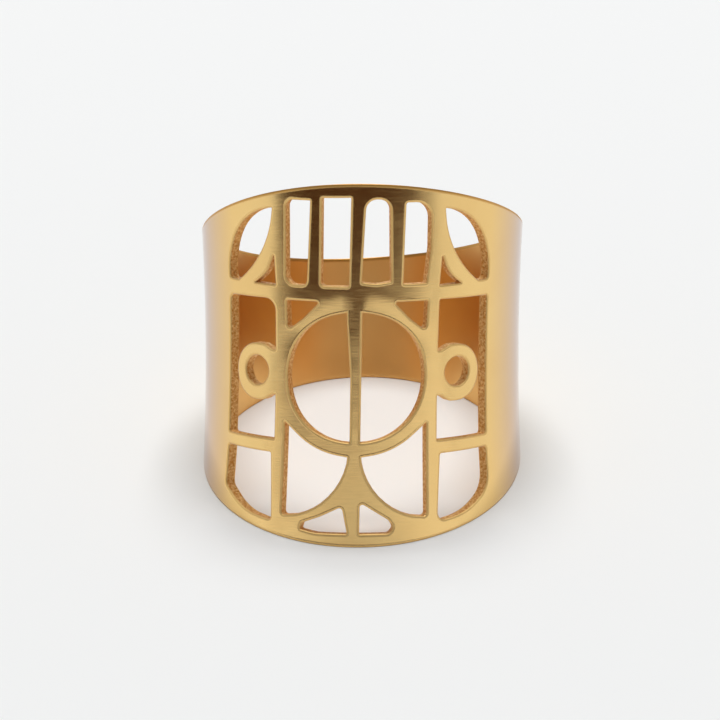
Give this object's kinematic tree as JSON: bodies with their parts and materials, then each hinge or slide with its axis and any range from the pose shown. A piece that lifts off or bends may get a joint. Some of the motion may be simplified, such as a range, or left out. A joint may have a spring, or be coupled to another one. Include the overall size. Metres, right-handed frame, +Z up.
{
  "type": "cutout finger ring",
  "caption": "Wide gold-toned band ring, tall at the front and narrow at the back, its front pierced with slots, a barred circle, small side rings and arcs.",
  "frame": {"origin": "on the surface that the ring stands on, under the centre of its bounding box", "axes": "+Z up, +X to the right as the pierced front is looked at, +Y from the tall pierced front to the narrow back; the finger's axis leans 21.1 degrees back from +Z"},
  "size_m": [0.0186, 0.0226, 0.0196],
  "materials": {
    "gold_plated_brass": "satin gold plating over hand-filed brass, with burnished edges and grainy sawn walls"
  },
  "bodies": {
    "root": {"pierced_band": "gold_plated_brass"}
  },
  "joints": []
}
